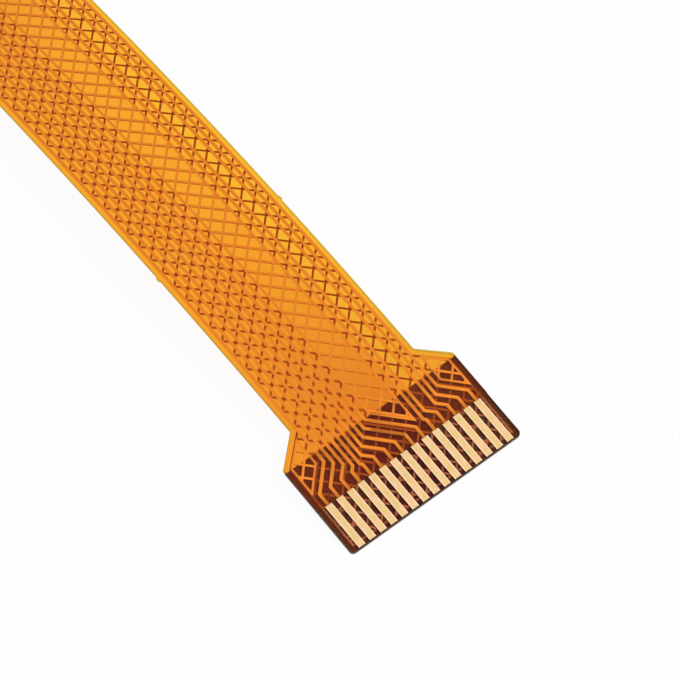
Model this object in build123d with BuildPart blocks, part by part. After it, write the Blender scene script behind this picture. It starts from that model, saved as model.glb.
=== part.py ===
"""Flat flexible printed cable: a row of wide contacts fans in to a narrow body of fine copper tracks.

Millimetres. X runs along the cable towards its wide end, Y across it, and Z up from what it lies on.
The laminate is bent into a low arch and lies on the ends of its two stiffeners, with its contacts upwards.
A distance along the cable is measured from the tip of the wide end, on the back of the laminate.
"""
import os
from math import ceil, cos, floor, pi, radians, sin, sqrt, tan

from build123d import *

os.makedirs("parts", exist_ok=True)

# Narrow contact that each wide contact is joined to, in two groups with ground between them
first_group = tuple(range(1, 11))
second_group = (17, 18, 20, 21, 22)
narrow_number = first_group + second_group

# Wide end
wide_count = len(narrow_number)
wide_pitch = 1.0
wide_contact_width = 0.58
wide_margin = 1.0  # middle of an outer contact to the side edge of the film

# Narrow end
narrow_count = narrow_number[-1]
narrow_pitch = 0.5
narrow_contact_width = 0.35
narrow_margin = 0.5  # middle of an outer contact to the side edge of the film

# Both ends
bare_length = 4.0  # tip of the cable to the edge of the top coverlay
contact_setback = 0.1  # tip of the cable to the tip of a contact
stiff_length = 7.8  # flat, stiffened length of each end
end_corner_radius = 0.35

# Whole cable
cable_length = 73.0
bend_radius = 232.0  # of the back, between the stiff ends
body_shift = 0.1  # middle line of the body off the middle line of the wide end
shoulder_gap = 0.2  # end of the stiffener to the start of both shoulders
shoulder_angle = 48.0  # of each shoulder to the length of the cable, in degrees
nib_distance = 25.7  # tip of the wide end to the two nibs where the cable was broken from its sheet
nib_length = 0.5
nib_height = 0.1

# Layers of the laminate
coverlay_thickness = 0.05
base_thickness = 0.05
copper_thickness = 0.035
stiffener_thickness = 0.125

# Tracks
track_width = 0.25
lead_length = 1.0  # edge of the top coverlay to the start of every slanted run
spare_tail = 0.5  # length of a spare contact that goes on under the coverlay

# Hatched copper
hatch_pitch = 1.0
hatch_distance = 10.34  # tip of the wide end to a crossing of the hatch lines
hatch_across = -0.82  # the same crossing, off the middle line of the wide end
mesh_line = 0.16
mesh_border = 0.17
mesh_inset = 0.42  # edge of the film to the border line on the back
fill_line = 0.18
fill_border = 0.17
fill_inset = 0.5  # edge of the film to the border line beside the tracks
fill_gap = 0.35  # bare film between a track and the hatched copper

# Widths and heights that follow from these
wide_width = (wide_count - 1) * wide_pitch + 2 * wide_margin
body_width = (narrow_count - 1) * narrow_pitch + 2 * narrow_margin
body_low = body_shift - body_width / 2
body_high = body_shift + body_width / 2
mesh_bottom = coverlay_thickness
mesh_top = mesh_bottom + copper_thickness
track_bottom = mesh_top + base_thickness
track_top = track_bottom + copper_thickness
laminate_top = track_top + coverlay_thickness
jog_distance = bare_length + lead_length
shoulder_distance = stiff_length + shoulder_gap
shoulder_turn = radians(shoulder_angle)
fill_clearance = track_width / 2 + fill_gap

# The arch: half of its turn, and the height of its centre that puts the stiffeners' ends at Z = 0
arc_length = cable_length - 2 * stiff_length
half_turn = arc_length / bend_radius / 2
tip_x = bend_radius * sin(half_turn) + stiff_length * cos(half_turn)
centre_z = stiff_length * sin(half_turn) + stiffener_thickness / cos(half_turn) - bend_radius * cos(half_turn)

# Cutting room around the laminate
cut_room = 1.0
plan_plane = Plane.XY.offset(-cut_room)
plan_height = centre_z + bend_radius + laminate_top + 2 * cut_room


def plan_x(distance):
    """X of the point on the back of the cable that lies this far from the tip of the wide end."""
    past_middle = distance - cable_length / 2
    on_arc = max(-arc_length / 2, min(arc_length / 2, past_middle))
    return -bend_radius * sin(on_arc / bend_radius) - (past_middle - on_arc) * cos(half_turn)


def wide_y(number):
    """Middle line of a contact of the wide end."""
    return (number - (wide_count + 1) / 2) * wide_pitch


def narrow_y(number):
    """Middle line of a contact of the narrow end, which is also the line of its track in the body."""
    return body_shift + (number - (narrow_count + 1) / 2) * narrow_pitch


def arch_line(height):
    """Side view of the surface at this height above the back: flat, arched, flat. Returns its two ends."""
    radius = bend_radius + height
    side = radius * sin(half_turn)
    level = centre_z + radius * cos(half_turn)
    reach = stiff_length + cut_room
    end_x = side + reach * cos(half_turn)
    end_z = level - reach * sin(half_turn)
    Line((-end_x, end_z), (-side, level))
    ThreePointArc((-side, level), (0, centre_z + radius), (side, level))
    Line((side, level), (end_x, end_z))
    return (-end_x, end_z), (end_x, end_z)


def layer(bottom, top):
    """Bent slab between two heights above the back, with room to spare at its edges."""
    with BuildPart() as slab:
        with BuildSketch(Plane.XZ):
            with BuildLine():
                low_ends = arch_line(bottom)
                high_ends = arch_line(top)
                Line(low_ends[0], high_ends[0])
                Line(low_ends[1], high_ends[1])
            make_face()
        extrude(amount=wide_width / 2 + cut_room, both=True)
    return slab.part


def bent_piece(plan, slab):
    """The part of a slab that lies over a plan."""
    with BuildPart() as piece:
        with BuildSketch(plan_plane):
            add(plan)
        extrude(amount=plan_height)
        add(slab, mode=Mode.INTERSECT)
    return piece.part


def shoulder_x(side, inset):
    """X of the edge of a shoulder at this distance off the middle line, drawn in from the film's edge."""
    start = plan_x(shoulder_distance)
    return start - (wide_width / 2 - side) / tan(shoulder_turn) + inset / sin(shoulder_turn)


def film_plan(inset):
    """Wide end, two slanted shoulders and narrow body, drawn in from the edge of the film by this much."""
    side = wide_width / 2 - inset
    high = body_high - inset
    low = body_low + inset
    tip = tip_x - inset
    with BuildSketch() as plan:
        with BuildLine():
            Polyline(
                (tip, -side),
                (tip, side),
                (shoulder_x(side, inset), side),
                (shoulder_x(high, inset), high),
                (-tip, high),
                (-tip, low),
                (shoulder_x(-low, inset), low),
                (shoulder_x(side, inset), -side),
                close=True,
            )
        make_face()
    return plan.sketch


def inside(zone, inset):
    """A zone drawn in by this much all round."""
    with BuildSketch() as smaller:
        offset(zone, amount=-inset, kind=Kind.INTERSECTION)
    return smaller.sketch


def rim(zone, hollow):
    """What is left of a zone around a hollow."""
    with BuildSketch() as line:
        add(zone)
        add(hollow, mode=Mode.SUBTRACT)
    return line.sketch


def strip_places(zone, turn, line):
    """Where the hatch lines at this angle cross a zone. All zones share one grid of lines."""
    crossing = Vector(plan_x(hatch_distance), hatch_across)
    across = Vector(0, 1).rotate(Axis.Z, turn)
    reach = [(Vector(*corner) - crossing).dot(across) for corner in zone.vertices()]
    first = ceil((min(reach) + line / 2) / hatch_pitch)
    last = floor((max(reach) - line / 2) / hatch_pitch)
    return [Location(crossing + across * hatch_pitch * step, turn) for step in range(first, last + 1)]


def strips(zone, places, line):
    """Parallel strips of the hatch, cut to a zone."""
    with BuildSketch() as lines:
        with Locations(*places):
            Rectangle(2 * cable_length, line)
        add(zone, mode=Mode.INTERSECT)
    return lines.sketch


def hatched_foil(border, zone, line, bottom, top):
    """Copper border of full thickness, and two crossing sets of strips of half of it, one on the other."""
    middle = (bottom + top) / 2
    pieces = [bent_piece(border, layer(bottom, top))]
    for turn, low, high in ((45, bottom, middle), (-45, middle, top)):
        places = strip_places(zone, turn, line)
        if places:
            pieces.append(bent_piece(strips(zone, places, line), layer(low, high)))
    return Compound([solid for piece in pieces for solid in piece.solids()])


def finish(piece, label):
    """Name a piece and write it out."""
    piece.label = label
    export_step(piece, f"parts/{label}.step")


# Outline of the film, with rounded corners at its ends and a nib on each side of the body
with BuildSketch() as outline:
    add(film_plan(0))
    ends = outline.vertices().group_by(Axis.X)
    fillet(ends[0] + ends[-1], radius=end_corner_radius)
    for edge, side in ((body_high, 1), (body_low, -1)):
        with BuildLine():
            Polyline(
                (plan_x(nib_distance) - nib_length / 2, edge),
                (plan_x(nib_distance) - nib_length / 4, edge + side * nib_height),
                (plan_x(nib_distance) + nib_length / 4, edge + side * nib_height),
                (plan_x(nib_distance) + nib_length / 2, edge),
                close=True,
            )
        make_face()

# Films: the base carries both copper layers, and the top coverlay leaves the contacts bare
covered_length = 2 * plan_x(bare_length)
with BuildSketch() as covered:
    add(outline.sketch)
    Rectangle(covered_length, wide_width, mode=Mode.INTERSECT)
finish(bent_piece(outline.sketch, layer(0, mesh_bottom)), "back_coverlay")
finish(bent_piece(outline.sketch, layer(mesh_top, track_bottom)), "base_film")
finish(bent_piece(covered.sketch, layer(track_top, laminate_top)), "top_coverlay")

# Stiffeners: flat plates under the back of each end
backing = layer(-stiffener_thickness, 0)
for label, side in (("stiffener_wide_end", 1), ("stiffener_narrow_end", -1)):
    plate_length = tip_x - plan_x(stiff_length)
    with BuildSketch() as plate:
        add(outline.sketch)
        with Locations((side * (tip_x - plate_length / 2), 0)):
            Rectangle(plate_length, wide_width, mode=Mode.INTERSECT)
    finish(bent_piece(plate.sketch, backing), label)

# Contacts and tracks lie in one copper layer on top of the base film
copper = layer(track_bottom, track_top)
contact_length = plan_x(contact_setback) - plan_x(bare_length)
wide_contact_x = (plan_x(contact_setback) + plan_x(bare_length)) / 2
narrow_contact_x = -wide_contact_x

# Conductors: each is one strip of copper, from its wide contact through a slanted run to its narrow contact
for number in range(1, wide_count + 1):
    start_y = wide_y(number)
    lane_y = narrow_y(narrow_number[number - 1])
    jog = abs(lane_y - start_y)
    half = track_width / 2
    mitre = half * tan(pi / 8) * (1 if lane_y > start_y else -1)
    jog_start = plan_x(jog_distance)
    jog_end = plan_x(jog_distance + jog)
    with BuildSketch() as conductor:
        with BuildLine():
            Polyline(
                (plan_x(bare_length), start_y + half),
                (jog_start + mitre, start_y + half),
                (jog_end + mitre, lane_y + half),
                (-plan_x(bare_length), lane_y + half),
                (-plan_x(bare_length), lane_y - half),
                (jog_end - mitre, lane_y - half),
                (jog_start - mitre, start_y - half),
                (plan_x(bare_length), start_y - half),
                close=True,
            )
        make_face()
        with Locations((wide_contact_x, start_y)):
            Rectangle(contact_length, wide_contact_width)
        with Locations((narrow_contact_x, lane_y)):
            Rectangle(contact_length, narrow_contact_width)
    finish(bent_piece(conductor.sketch, copper), f"conductor_{number:02d}")

# Spare contacts of the narrow end, which no track reaches
for number in set(range(second_group[0], narrow_count)).difference(second_group):
    with BuildSketch() as spare:
        with Locations((narrow_contact_x + spare_tail / 2, narrow_y(number))):
            Rectangle(contact_length + spare_tail, narrow_contact_width)
    finish(bent_piece(spare.sketch, copper), f"spare_contact_{number}")

# Ground on the back of the base film: hatched all over, with a border line that follows the outline
mesh_zone = film_plan(mesh_inset + mesh_border)
mesh_rim = rim(film_plan(mesh_inset), mesh_zone)
finish(hatched_foil(mesh_rim, mesh_zone, mesh_line, mesh_bottom, mesh_top), "ground_mesh")

# Hatched ground in the two shoulders, between the outer track and the edge of the film
fill_side = wide_width / 2 - fill_inset
for label, side, number in (("ground_fill_left", -1, 1), ("ground_fill_right", 1, wide_count)):
    start_side = abs(wide_y(number))
    lane_side = side * narrow_y(narrow_number[number - 1]) + fill_clearance
    along_jog = jog_distance + start_side + fill_clearance * sqrt(2)
    with BuildSketch() as shoulder:
        with BuildLine():
            Polyline(
                (plan_x(along_jog - fill_side), side * fill_side),
                (plan_x(along_jog - lane_side), side * lane_side),
                (shoulder_x(lane_side, fill_inset), side * lane_side),
                (shoulder_x(fill_side, fill_inset), side * fill_side),
                close=True,
            )
        make_face()
    shoulder_zone = inside(shoulder.sketch, fill_border)
    shoulder_rim = rim(shoulder.sketch, shoulder_zone)
    finish(hatched_foil(shoulder_rim, shoulder_zone, fill_line, track_bottom, track_top), label)

# Hatched ground between the two groups of tracks, with the narrow contacts that it feeds
fill_low = narrow_y(first_group[-1]) + fill_clearance
fill_high = narrow_y(second_group[0]) - fill_clearance
along_jog = jog_distance + wide_y(len(first_group)) + fill_clearance * sqrt(2)
with BuildSketch() as middle:
    with BuildLine():
        Polyline(
            (plan_x(along_jog - fill_high), fill_high),
            (plan_x(along_jog - fill_low), fill_low),
            (-plan_x(bare_length), fill_low),
            (-plan_x(bare_length), fill_high),
            close=True,
        )
    make_face()
middle_zone = inside(middle.sketch, fill_border)
with BuildSketch() as middle_rim:
    add(rim(middle.sketch, middle_zone))
    for number in range(first_group[-1] + 1, second_group[0]):
        with Locations((narrow_contact_x, narrow_y(number))):
            Rectangle(contact_length, narrow_contact_width)
middle_fill = hatched_foil(middle_rim.sketch, middle_zone, fill_line, track_bottom, track_top)
finish(middle_fill, "ground_fill_middle")
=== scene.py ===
import math

import bmesh
import bpy
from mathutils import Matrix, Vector


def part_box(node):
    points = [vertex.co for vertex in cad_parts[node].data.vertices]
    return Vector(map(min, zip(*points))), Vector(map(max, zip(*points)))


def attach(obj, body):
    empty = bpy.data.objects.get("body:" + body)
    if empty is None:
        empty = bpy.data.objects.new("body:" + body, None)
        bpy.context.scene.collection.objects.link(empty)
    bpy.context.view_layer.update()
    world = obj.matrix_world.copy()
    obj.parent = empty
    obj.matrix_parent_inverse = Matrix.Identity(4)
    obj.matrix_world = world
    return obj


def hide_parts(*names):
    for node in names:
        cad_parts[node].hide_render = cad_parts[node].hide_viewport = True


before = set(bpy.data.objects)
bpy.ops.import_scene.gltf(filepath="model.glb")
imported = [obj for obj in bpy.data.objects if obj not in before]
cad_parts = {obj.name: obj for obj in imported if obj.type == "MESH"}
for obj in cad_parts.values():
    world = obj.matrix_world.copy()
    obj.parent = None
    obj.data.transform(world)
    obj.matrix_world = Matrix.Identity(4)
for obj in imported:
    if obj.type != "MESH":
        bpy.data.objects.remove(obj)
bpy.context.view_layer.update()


# Base film: the amber polyimide sheet that everything else is bonded to. It is bought
# clad with copper on both faces and die-cut to the cable's outline. Its upper face is
# open only between the bare contacts at both ends.

class Wire:
    """One output of a finish's nodes. Arithmetic on it adds Math nodes, and node() any other."""

    def __init__(self, tree, socket=None):
        self.tree = tree
        self.socket = socket

    def node(self, kind, settings=(), sockets=(), output=0):
        """Adds a node: first its settings, then what its sockets hold or are fed by."""
        added = self.tree.nodes.new(kind)
        for name, value in dict(settings).items():
            setattr(added, name, value)
        for name, value in dict(sockets).items():
            if isinstance(value, Wire):
                self.tree.links.new(value.socket, added.inputs[name])
            else:
                added.inputs[name].default_value = value
        return Wire(self.tree, added.outputs[output]) if added.outputs else None

    def maths(self, operation, first, second=0.0):
        return self.node("ShaderNodeMath", {"operation": operation}, {0: first, 1: second})

    def __add__(self, other):
        return self.maths("ADD", self, other)

    def __sub__(self, other):
        return self.maths("SUBTRACT", self, other)

    def __rsub__(self, other):
        return self.maths("SUBTRACT", other, self)

    def __mul__(self, other):
        return self.maths("MULTIPLY", self, other)

    def __truediv__(self, other):
        return self.maths("DIVIDE", self, other)

    def __gt__(self, other):
        return self.maths("GREATER_THAN", self, other)

    def __abs__(self):
        return self.maths("ABSOLUTE", self)

    __radd__ = __add__
    __rmul__ = __mul__


millimetres = 1000.0


def new_finish(name):
    """An empty finish, and the place on the piece in millimetres, by which its pattern lies."""
    finish = bpy.data.materials.new(name)
    finish.use_nodes = True
    finish.node_tree.nodes.clear()
    metres = Wire(finish.node_tree).node("ShaderNodeTexCoord", output="Object")
    place = metres.node(
        "ShaderNodeVectorMath", {"operation": "SCALE"}, {"Vector": metres, "Scale": millimetres})
    return finish, place


def show(shader):
    """Makes this shader the one that its finish shows."""
    shader.node("ShaderNodeOutputMaterial", sockets={"Surface": shader})


def coordinate(vector, axis):
    """One number of a place or direction: X is along the cable, Y across it and Z up."""
    return vector.node("ShaderNodeSeparateXYZ", sockets={"Vector": vector}, output=axis)


soft, fine, finest = 2.0, 3.0, 4.0


def mottle(place, stretch, detail=soft):
    """Random patches from 0 to 1, with this many to the millimetre along, across and up."""
    stretched = place.node(
        "ShaderNodeVectorMath", {"operation": "MULTIPLY"}, {0: place, 1: stretch})
    return place.node(
        "ShaderNodeTexNoise", sockets={"Vector": stretched, "Scale": 1.0, "Detail": detail})


def dye(share, first, second):
    """A colour from the first to the second."""
    return share.node(
        "ShaderNodeMix", {"data_type": "RGBA"}, {0: share, 6: first, 7: second}, output=2)


def join(share, first, second):
    """A shader from the first to the second."""
    return first.node("ShaderNodeMixShader", sockets={0: share, 1: first, 2: second})


def see_through(place, tint):
    """Clear polyimide that passes this tint."""
    return place.node("ShaderNodeBsdfTransparent", sockets={"Color": tint})


clear = (1.0, 1.0, 1.0, 1.0)
thin_amber = (0.999, 0.885, 0.45, 1.0)
thick_amber = (0.997, 0.865, 0.42, 1.0)
cast_patches = (0.12, 0.25, 1.0)
haze_amber = (0.95, 0.06, 0.004, 1.0)
base_haze = 0.02
gloss_bend = 1.2
gloss_roughness = 0.26
streak_roughness = 0.12
rolled_streaks = (0.5, 6.0, 1.0)
coverlay_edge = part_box("top_coverlay")[1].x * millimetres
stiffener_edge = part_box("stiffener_wide_end")[0].x * millimetres


def amber_body(place, thin, thick):
    """The tint of one film, a little uneven because a cast film's thickness wanders."""
    thickness = mottle(place, cast_patches)
    return join(thickness, see_through(place, thin), see_through(place, thick))


def open_face(place, body, haze_share):
    """A film's outer face: this much amber haze, and a satin gloss with rolled-in streaks."""
    roughness = gloss_roughness + streak_roughness * mottle(place, rolled_streaks, fine)
    haze = place.node("ShaderNodeBsdfPrincipled", sockets={
        "Base Color": haze_amber, "Roughness": roughness})
    satin = place.node("ShaderNodeBsdfPrincipled", sockets={
        "Base Color": clear, "Metallic": 1.0, "Roughness": roughness})
    sheen = place.node("ShaderNodeFresnel", sockets={"IOR": gloss_bend})
    return join(sheen, join(haze_share, body, haze), satin)


weld = 1e-7
crease = math.radians(30.0)
level = 0.5


def merged_copy(node):
    """A CAD node's shape with its loose triangles joined, so that gloss runs over the bend."""
    shape = bmesh.new()
    shape.from_mesh(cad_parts[node].data)
    bmesh.ops.remove_doubles(shape, verts=shape.verts, dist=weld)
    return shape


def put_in_scene(shape, name, finishes):
    """Makes the object of this name from its finished shape."""
    mesh = bpy.data.meshes.new(name)
    shape.to_mesh(mesh)
    shape.free()
    for finish in finishes:
        mesh.materials.append(finish)
    piece = bpy.data.objects.new(name, mesh)
    bpy.context.scene.collection.objects.link(piece)
    return piece


def laminated_sheet(node, sink, finishes):
    """Stands for one layer. Its upper face is sunk out of the layer that lies on it. The
    finishes are for its upper face, its lower face and its cut edge."""
    shape = merged_copy(node)
    shape.normal_update()
    for face in shape.faces:
        face.smooth = True
        face.material_index = 0 if face.normal.z > level else 1 if face.normal.z < -level else 2
    for edge in shape.edges:
        edge.smooth = edge.calc_face_angle(0.0) < crease
    upper = {corner for face in shape.faces if face.material_index == 0 for corner in face.verts}
    bmesh.ops.translate(shape, verts=list(upper), vec=(0.0, 0.0, -sink))
    sheet = put_in_scene(shape, node + "_sheet", finishes)
    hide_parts(node)
    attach(sheet, "root")


half_bare_amber, place = new_finish("half_bare_amber")
bare = abs(coordinate(place, "X")) > coverlay_edge
body = amber_body(place, thin_amber, thick_amber)
show(join(bare, body, open_face(place, body, base_haze)))

bonded_clear, place = new_finish("bonded_clear")
show(see_through(place, clear))

cut_edge_tint = (0.91, 0.95, 0.85, 1.0)
cut_edge_dark = (0.12, 0.11, 0.03, 1.0)
cut_edge_pale = (0.18, 0.16, 0.05, 1.0)
cut_edge_backed = (0.075, 0.03, 0.02, 1.0)
cut_edge_roughness = 0.45
die_marks = (3.0, 3.0, 20.0)
open_share = 0.13
backed_share = 0.92
cut_edge, place = new_finish("cut_edge")
backed = abs(coordinate(place, "X")) > stiffener_edge
olive = dye(mottle(place, die_marks), cut_edge_dark, cut_edge_pale)
edge_haze = place.node("ShaderNodeBsdfPrincipled", sockets={
    "Base Color": dye(backed, olive, cut_edge_backed), "Roughness": cut_edge_roughness})
solid_share = open_share + (backed_share - open_share) * backed
show(join(solid_share, see_through(place, cut_edge_tint), edge_haze))

hair = 20e-6
laminated_sheet("base_film", hair, (half_bare_amber, bonded_clear, cut_edge))


# Tracks' side: fifteen conductors, the hatched ground beside and between them and one spare
# contact, all etched from the copper on the base film's upper face. What the coverlay leaves
# bare at both ends is plated with gold.

track_copper = (0.88, 0.425, 0.35, 1.0)
track_copper_dull = (0.79, 0.375, 0.30, 1.0)
end_copper = (1.0, 0.50, 0.52, 1.0)
etched_grain = (7.0, 7.0, 7.0)
contact_gold = (0.85, 0.55, 0.325, 1.0)
contact_gold_worn = (0.71, 0.515, 0.175, 1.0)
# The pale gold along both rims of each contact is a painted highlight.
contact_gold_highlight = (0.99, 0.74, 0.48, 1.0)
worn_patches = (1.6, 3.0, 3.0)
least_wear, most_wear = 0.3, 0.7
track_roughness = 0.34
grain_roughness = 0.14
rolled_grain = (1.2, 14.0, 5.0)
wide_pitch = 1.0
wide_half = 0.29
narrow_pitch = 0.5
narrow_half = 0.175
highlight_band = 0.06
spare_low, spare_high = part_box("spare_contact_19")
narrow_centre = (spare_low.y + spare_high.y) / 2.0 * millimetres
stiffener_blur = 1.0


def from_centre(across, pitch, centre):
    """How far a place is from the middle line of a row's nearest contact, in millimetres."""
    steps = (across - centre) / pitch + 0.5
    return abs(steps.maths("FRACT", steps) - 0.5) * pitch


def over_stiffener(along):
    """0 in the body to 1 over both stiffeners."""
    return along.node("ShaderNodeMapRange", {"interpolation_type": "SMOOTHSTEP"}, {
        "Value": abs(along),
        "From Min": stiffener_edge - stiffener_blur,
        "From Max": stiffener_edge + stiffener_blur,
    })


plated_copper, place = new_finish("plated_copper")
along = coordinate(place, "X")
across = coordinate(place, "Y")
bare = abs(along) > coverlay_edge
wide_end = along > 0.0
# Painted highlight: a band along both rims of every contact.
wide_highlight_rim = from_centre(across, wide_pitch, 0.0) > wide_half - highlight_band
narrow_highlight_rim = from_centre(across, narrow_pitch, narrow_centre) > narrow_half - highlight_band
highlight_rim = wide_end * wide_highlight_rim + (1.0 - wide_end) * narrow_highlight_rim
wear = place.node("ShaderNodeMapRange", sockets={
    "Value": mottle(place, worn_patches, fine), "From Min": least_wear, "From Max": most_wear})
gold = dye(highlight_rim, dye(wear, contact_gold, contact_gold_worn), contact_gold_highlight)
etched = dye(mottle(place, etched_grain, fine), track_copper_dull, track_copper)
copper = dye(over_stiffener(along), etched, end_copper)
show(place.node("ShaderNodeBsdfPrincipled", sockets={
    "Base Color": dye(bare, copper, gold),
    "Metallic": 1.0,
    "Roughness": track_roughness + grain_roughness * mottle(place, rolled_grain, fine),
}))
for name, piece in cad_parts.items():
    if name.startswith(("conductor_", "spare_contact_", "ground_fill_")):
        piece.material_slots[0].material = plated_copper


# Ground mesh: the hatched copper on the back of the base film. Its upper face was browned so
# that it bonds to the film, and is paler over the stiffeners. Its lower face is rolled copper
# under the back coverlay.

bonding_brown = (0.33, 0.07, 0.09, 1.0)
bonding_brown_pale = (0.44, 0.105, 0.125, 1.0)
brown_over_stiffeners = (0.39, 0.14, 0.20, 1.0)
brown_over_stiffeners_pale = (0.50, 0.20, 0.27, 1.0)
mesh_grain = (6.0, 6.0, 6.0)
mesh_roughness = 0.36
mesh_grain_roughness = 0.14
browned_roughness = 0.15
mesh_copper, place = new_finish("mesh_copper")
browned = coordinate(place.node("ShaderNodeNewGeometry", output="True Normal"), "Z") > level
etch = mottle(place, mesh_grain, fine)
brown = dye(
    over_stiffener(coordinate(place, "X")),
    dye(etch, bonding_brown, bonding_brown_pale),
    dye(etch, brown_over_stiffeners, brown_over_stiffeners_pale))
show(place.node("ShaderNodeBsdfPrincipled", sockets={
    "Base Color": dye(browned, dye(etch, track_copper_dull, track_copper), brown),
    "Metallic": 1.0,
    "Roughness": mesh_roughness + mesh_grain_roughness * etch + browned_roughness * browned,
}))
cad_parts["ground_mesh"].material_slots[0].material = mesh_copper


# Coverlays: polyimide covers bonded over the copper on both faces, the upper one cut short
# at both ends to leave the contacts bare. Only their outer faces shine. The tint of the
# adhesive that holds the back one has painted shade, deepest towards both ends and less near
# both sides, and painted light on the right side.

thin_cover = (0.998, 0.805, 0.225, 1.0)
thick_cover = (0.995, 0.785, 0.205, 1.0)
cover_haze = 0.06
outer_amber, place = new_finish("outer_amber")
show(open_face(place, amber_body(place, thin_cover, thick_cover), cover_haze))

# The pale tint is painted light on the right side; the deep tint is painted shade at both ends.
painted_light_adhesive = (1.0, 0.765, 0.235, 1.0)
full_adhesive = (0.99, 0.625, 0.19, 1.0)
painted_shade_adhesive = (0.62, 0.123, 0.065, 1.0)
shade_start = 4.0
shade_full = 37.8
lit_right_span = (2.0, 3.6)
less_shade_left_span = (-1.5, -7.0)
less_shade_on_right = 0.5
less_shade_on_left = 0.6
adhesive_wander = 0.06
bonded_back, place = new_finish("bonded_back")
along = abs(coordinate(place, "X"))
across = coordinate(place, "Y")
# Painted shade: it grows towards both ends and is less near both sides.
shade_ramp = along.maths("MAXIMUM", along - shade_start, 0.0) / (shade_full - shade_start)
right, left = (
    place.node("ShaderNodeMapRange", {"interpolation_type": "SMOOTHSTEP"}, {
        "Value": across, "From Min": start, "From Max": end})
    for start, end in (lit_right_span, less_shade_left_span))
spread = 1.0 - less_shade_on_right * right - less_shade_on_left * left
shade_depth = shade_ramp * shade_ramp * spread + adhesive_wander * mottle(place, cast_patches)
even = join(right, see_through(place, full_adhesive), see_through(place, painted_light_adhesive))
show(join(shade_depth, even, see_through(place, painted_shade_adhesive)))

outer_clear, place = new_finish("outer_clear")
backed = abs(coordinate(place, "X")) > stiffener_edge
body = see_through(place, clear)
show(join(backed, open_face(place, body, base_haze), body))

laminated_sheet("top_coverlay", 0.0, (outer_amber, bonded_clear, cut_edge))
laminated_sheet("back_coverlay", hair, (bonded_back, outer_clear, cut_edge))


# Adhesive edge: the adhesive between the films fills the height of the copper, and the die
# crushes all of them to one narrow olive wall round the cable. It stands from the back
# cover's open face to the top cover's, or to the base film's where the contacts are bare.

cover_and_copper = 0.085e-3
crushed_width = 0.05e-3
covers_end = coverlay_edge / millimetres
shape = merged_copy("base_film")
for end in (-covers_end, covers_end):
    bmesh.ops.bisect_plane(
        shape, geom=shape.verts[:] + shape.edges[:] + shape.faces[:], dist=weld,
        plane_co=(end, 0.0, 0.0), plane_no=(1.0, 0.0, 0.0))
shape.normal_update()
film_top = shape.verts.layers.int.new("film_top")
for face in shape.faces:
    for corner in face.verts:
        corner[film_top] |= face.normal.z > level
open_faces = [face for face in shape.faces if abs(face.normal.z) > level]
bmesh.ops.delete(shape, geom=open_faces, context="FACES")
covered = [face for face in shape.faces if abs(face.calc_center_median().x) < covers_end]
covered = bmesh.ops.split(shape, geom=covered)["geom"]
covered_top = [
    part for part in covered if isinstance(part, bmesh.types.BMVert) and part[film_top]]
bottom = [corner for corner in shape.verts if not corner[film_top]]
bmesh.ops.translate(shape, verts=covered_top, vec=(0.0, 0.0, cover_and_copper))
bmesh.ops.translate(shape, verts=bottom, vec=(0.0, 0.0, -cover_and_copper))
bmesh.ops.solidify(shape, geom=shape.faces[:], thickness=crushed_width)
adhesive_edge = put_in_scene(shape, "adhesive_edge", [cut_edge])
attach(adhesive_edge, "root")


# Stiffeners: dark plastic plates bonded behind both rows of contacts, so that the ends push
# straight into their connectors. They are punched from satin sheet, and their cut edges are
# paler.

plate_dark = (0.092, 0.096, 0.098, 1.0)
plate_pale = (0.132, 0.138, 0.140, 1.0)
plate_patches = (2.0, 2.0, 2.0)
plate_roughness = 0.42
scuff_roughness = 0.16
plate_scuffs = (0.8, 11.0, 3.0)
plate_tooth = (16.0, 16.0, 16.0)
tooth_strength = 0.12
tooth_height = 0.00002
satin_plate, place = new_finish("satin_plate")
tooth = place.node("ShaderNodeBump", sockets={
    "Height": mottle(place, plate_tooth), "Strength": tooth_strength, "Distance": tooth_height})
show(place.node("ShaderNodeBsdfPrincipled", sockets={
    "Base Color": dye(mottle(place, plate_patches, finest), plate_dark, plate_pale),
    "Roughness": plate_roughness + scuff_roughness * mottle(place, plate_scuffs, fine),
    "Normal": tooth,
}))

plate_cut = (0.36, 0.33, 0.30, 1.0)
plate_cut_pale = (0.46, 0.43, 0.40, 1.0)
plate_cut_roughness = 0.6
cut_plate, place = new_finish("cut_plate")
show(place.node("ShaderNodeBsdfPrincipled", sockets={
    "Base Color": dye(mottle(place, die_marks), plate_cut, plate_cut_pale),
    "Roughness": plate_cut_roughness,
}))

for end in ("wide", "narrow"):
    laminated_sheet(
        "stiffener_" + end + "_end", hair, (satin_plate, satin_plate, cut_plate))


# Floor: a plain white sheet that the cable stands on. It shows as white paper does in a
# photograph lit for the object, and keeps a share of the cable's shadow.

paper_white = (0.95, 0.95, 0.95, 1.0)
floor_reach = 3.0
white_share = 0.93


def seen_directly(wire):
    """1 for what is seen, straight on or in metal or glass, and 0 for light on its way."""
    by_camera, in_metal, in_glass = (
        wire.node("ShaderNodeLightPath", output=kind + " Ray")
        for kind in ("Is Camera", "Is Glossy", "Is Transmission"))
    return wire.maths("MAXIMUM", wire.maths("MAXIMUM", by_camera, in_metal), in_glass)


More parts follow.
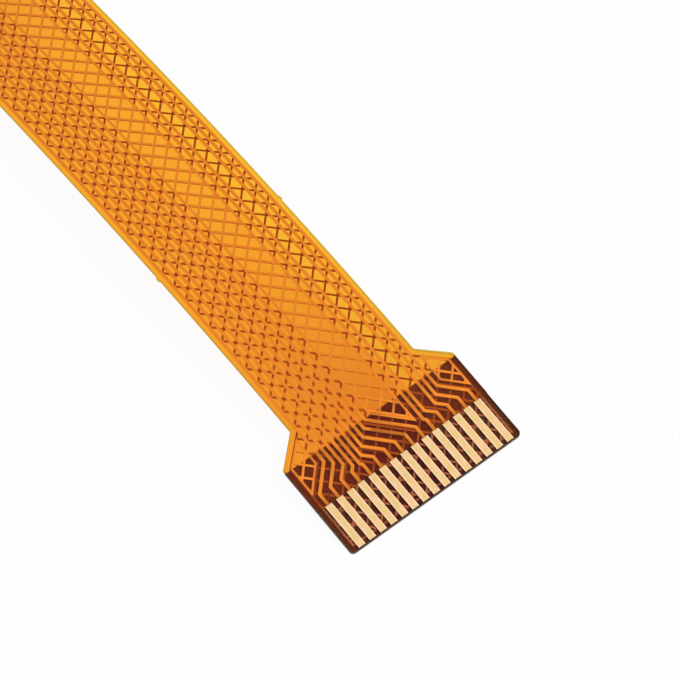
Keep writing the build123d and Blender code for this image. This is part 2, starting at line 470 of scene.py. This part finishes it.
paper, place = new_finish("paper")
lit_paper = place.node("ShaderNodeBsdfDiffuse", sockets={"Color": paper_white})
photo_white = place.node("ShaderNodeEmission", sockets={"Color": clear, "Strength": 1.0})
show(join(seen_directly(place) * white_share, lit_paper, photo_white))
shape = bmesh.new()
bmesh.ops.create_grid(shape, x_segments=1, y_segments=1, size=floor_reach)
floor = put_in_scene(shape, "floor", [paper])


# Light: one large soft lamp over the cable's right side, and an even white room. What is
# seen of the room is white, and a little less of it falls on the cable.

room_level = 0.8
lamp_watts = 0.6
lamp_size = 0.3
lamp_place = (0.245, 0.25, 0.37)
lamp_aim = (0.02, 0.0, 0.0)

room = bpy.data.worlds.new("room")
room.use_nodes = True
room.node_tree.nodes.clear()
wall = Wire(room.node_tree)
lit_wall = wall.node("ShaderNodeBackground", sockets={"Color": clear, "Strength": room_level})
seen_wall = wall.node("ShaderNodeBackground", sockets={"Color": clear, "Strength": 1.0})
wall.node("ShaderNodeOutputWorld", sockets={
    "Surface": join(seen_directly(wall), lit_wall, seen_wall)})
bpy.context.scene.world = room

softbox = bpy.data.lights.new("softbox", "AREA")
softbox.energy = lamp_watts
softbox.size = lamp_size
lamp = bpy.data.objects.new("softbox", softbox)
lamp.location = lamp_place
lamp.rotation_euler = (lamp.location - Vector(lamp_aim)).to_track_quat("Z", "Y").to_euler()
bpy.context.scene.collection.objects.link(lamp)


# Camera: where the photograph was taken from, in the cable's own frame. A line of sight
# crosses many clear film faces on its way to the floor, so their limit is raised.

camera_place = (0.12615, -0.092497, 0.237537)
camera_turn = (30.671, -1.863, 50.740)
camera_lens = 197.71
camera_sensor = 36.0
nearest, furthest = 0.01, 20.0
clear_faces = 32

view = bpy.data.cameras.new("camera")
view.lens = camera_lens
view.sensor_width = camera_sensor
view.clip_start = nearest
view.clip_end = furthest
camera = bpy.data.objects.new("camera", view)
camera.location = camera_place
camera.rotation_euler = [math.radians(turn) for turn in camera_turn]
bpy.context.scene.collection.objects.link(camera)
bpy.context.scene.camera = camera
bpy.context.scene.view_settings.view_transform = "Standard"
bpy.context.scene.cycles.transparent_max_bounces = clear_faces
